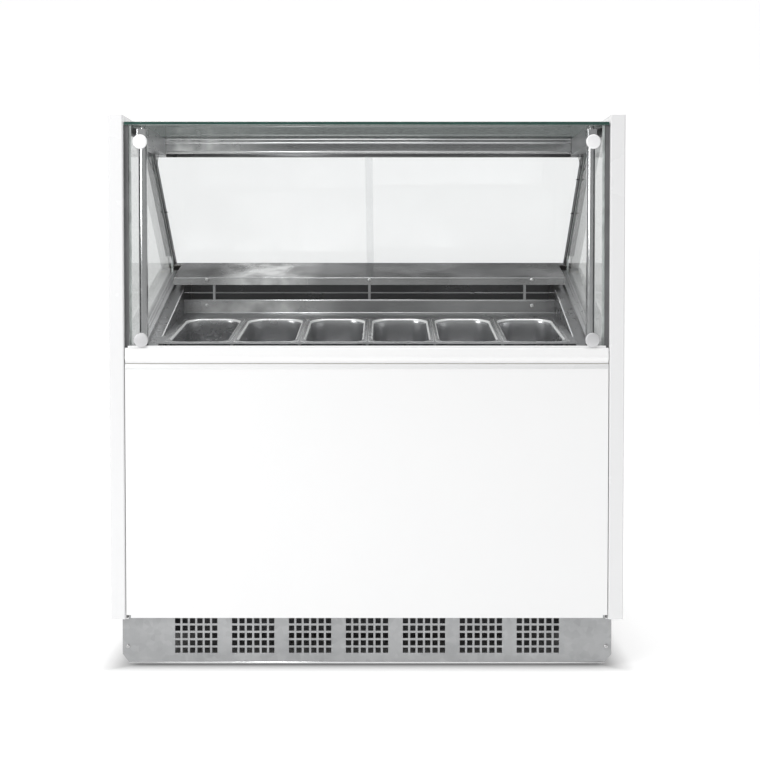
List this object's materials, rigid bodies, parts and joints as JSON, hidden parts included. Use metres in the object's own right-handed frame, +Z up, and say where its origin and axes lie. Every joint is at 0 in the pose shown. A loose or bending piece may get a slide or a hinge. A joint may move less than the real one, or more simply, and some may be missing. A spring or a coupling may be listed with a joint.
{
  "type": "ice cream dipping cabinet",
  "caption": "Free-standing refrigerated serving cabinet with inclined ice cream pans under a glass display and slanted sliding rear doors.",
  "frame": {"origin": "on the floor, under the middle of the cabinet's footprint", "axes": "+X to the right across the front, -Y towards the customer, +Z up"},
  "size_m": [1.25, 0.8, 1.35],
  "materials": {
    "white_paint": "gloss powder coat",
    "satin_steel": "satin, brushed",
    "pan_steel": "satin, deep drawn",
    "kick_steel": "galvanised and brushed",
    "frame_paint": "matt",
    "foot_plastic": "matt",
    "tube_steel": "polished",
    "cap_metal": "satin",
    "seal_rubber": "matt",
    "cable_rubber": "matt",
    "lamp_plastic": "matt",
    "track_aluminium": "anodised",
    "foam": "closed-cell foam",
    "coil_aluminium": "bare fins",
    "fan_plastic": "matt",
    "motor_paint": "matt paint",
    "compressor_paint": "black paint",
    "shroud_paint": "satin",
    "pipe_copper": "drawn copper",
    "grey_plastic": "matt",
    "knob_plastic": "fine texture",
    "power_key_plastic": "gloss",
    "gland_plastic": "matt",
    "screw_steel": "bright",
    "clear_glass": "polished, pale green edge"
  },
  "bodies": {
    "cabinet": {"side_frame_left": "white_paint", "side_frame_right": "white_paint", "front_panel": "white_paint", "front_rail": "white_paint", "side_panel_left": "white_paint", "side_panel_right": "white_paint", "rear_panel": "white_paint", "rear_ledge": "satin_steel", "air_wall": "satin_steel", "slot_guard": "satin_steel", "pan_support": "satin_steel", "inner_liner": "satin_steel", "side_sills": "satin_steel", "service_shelf": "satin_steel", "side_beams": "satin_steel", "rear_beam": "satin_steel", "control_panel": "satin_steel", "front_glass": "clear_glass", "top_glass": "clear_glass", "side_glass_left": "clear_glass", "side_glass_right": "clear_glass", "kick_plate": "kick_steel", "base_frame": "frame_paint", "support_tubes": "tube_steel", "glass_standoffs": "cap_metal", "glass_seals": "seal_rubber", "lamp_cables": "cable_rubber", "led_batten": "lamp_plastic", "door_tracks": "track_aluminium", "insulation_body": "foam", "evaporator_coil": "coil_aluminium", "condenser_coil": "coil_aluminium", "fan_motors": "motor_paint", "compressor": "compressor_paint", "fan_shroud": "shroud_paint", "refrigerant_pipes": "pipe_copper", "drain_pipe": "grey_plastic", "evaporation_tray": "grey_plastic", "mains_gland": "gland_plastic", "panel_screws": "screw_steel"},
    "foot_front_left": {"foot_front_left": "foot_plastic"},
    "foot_front_right": {"foot_front_right": "foot_plastic"},
    "foot_rear_left": {"foot_rear_left": "foot_plastic"},
    "foot_rear_right": {"foot_rear_right": "foot_plastic"},
    "door_left": {"door_left": "clear_glass", "door_pull_left": "track_aluminium"},
    "door_right": {"door_right": "clear_glass", "door_pull_right": "track_aluminium"},
    "pan_1": {"pan_1": "pan_steel"},
    "pan_2": {"pan_2": "pan_steel"},
    "pan_3": {"pan_3": "pan_steel"},
    "pan_4": {"pan_4": "pan_steel"},
    "pan_5": {"pan_5": "pan_steel"},
    "pan_6": {"pan_6": "pan_steel"},
    "evaporator_fan_left": {"evaporator_fan_left": "fan_plastic"},
    "evaporator_fan_right": {"evaporator_fan_right": "fan_plastic"},
    "condenser_fan": {"condenser_fan": "fan_plastic"},
    "thermostat_knob": {"thermostat_knob": "knob_plastic"},
    "lamp_switch": {"lamp_switch": "knob_plastic"},
    "power_switch": {"power_switch": "power_key_plastic"}
  },
  "joints": [
    {"name": "foot_front_left_turn", "type": "hinge", "parent": "cabinet", "child": "foot_front_left", "pos_m": [-0.56, -0.31, 0.03], "axis": [0, 0, 1], "continuous": true},
    {"name": "foot_front_right_turn", "type": "hinge", "parent": "cabinet", "child": "foot_front_right", "pos_m": [0.56, -0.31, 0.03], "axis": [0, 0, 1], "continuous": true},
    {"name": "foot_rear_left_turn", "type": "hinge", "parent": "cabinet", "child": "foot_rear_left", "pos_m": [-0.56, 0.32, 0.03], "axis": [0, 0, 1], "continuous": true},
    {"name": "foot_rear_right_turn", "type": "hinge", "parent": "cabinet", "child": "foot_rear_right", "pos_m": [0.56, 0.32, 0.03], "axis": [0, 0, 1], "continuous": true},
    {"name": "door_left_slide", "type": "slide", "parent": "cabinet", "child": "door_left", "axis": [1, 0, 0], "range_m": [0, 0.555]},
    {"name": "door_right_slide", "type": "slide", "parent": "cabinet", "child": "door_right", "axis": [-1, 0, 0], "range_m": [0, 0.555]},
    {"name": "pan_1_lift", "type": "slide", "parent": "cabinet", "child": "pan_1", "axis": [0, -0.1305, 0.9914], "range_m": [0, 0.14]},
    {"name": "pan_2_lift", "type": "slide", "parent": "cabinet", "child": "pan_2", "axis": [0, -0.1305, 0.9914], "range_m": [0, 0.14]},
    {"name": "pan_3_lift", "type": "slide", "parent": "cabinet", "child": "pan_3", "axis": [0, -0.1305, 0.9914], "range_m": [0, 0.14]},
    {"name": "pan_4_lift", "type": "slide", "parent": "cabinet", "child": "pan_4", "axis": [0, -0.1305, 0.9914], "range_m": [0, 0.14]},
    {"name": "pan_5_lift", "type": "slide", "parent": "cabinet", "child": "pan_5", "axis": [0, -0.1305, 0.9914], "range_m": [0, 0.14]},
    {"name": "pan_6_lift", "type": "slide", "parent": "cabinet", "child": "pan_6", "axis": [0, -0.1305, 0.9914], "range_m": [0, 0.14]},
    {"name": "evaporator_fan_left_spin", "type": "hinge", "parent": "cabinet", "child": "evaporator_fan_left", "pos_m": [-0.25, 0.114, 0.77], "axis": [0, 1, 0], "continuous": true},
    {"name": "evaporator_fan_right_spin", "type": "hinge", "parent": "cabinet", "child": "evaporator_fan_right", "pos_m": [0.25, 0.114, 0.77], "axis": [0, 1, 0], "continuous": true},
    {"name": "condenser_fan_spin", "type": "hinge", "parent": "cabinet", "child": "condenser_fan", "pos_m": [-0.29, -0.219, 0.275], "axis": [0, 1, 0], "continuous": true},
    {"name": "thermostat_knob_turn", "type": "hinge", "parent": "cabinet", "child": "thermostat_knob", "pos_m": [0.12, 0.388, 0.93], "axis": [0, 1, 0], "range_deg": [0, 270]},
    {"name": "lamp_switch_rock", "type": "hinge", "parent": "cabinet", "child": "lamp_switch", "pos_m": [0.22, 0.387, 0.93], "axis": [1, 0, 0], "range_deg": [-7, 7]},
    {"name": "power_switch_rock", "type": "hinge", "parent": "cabinet", "child": "power_switch", "pos_m": [0.3, 0.387, 0.93], "axis": [1, 0, 0], "range_deg": [-7, 7]}
  ]
}
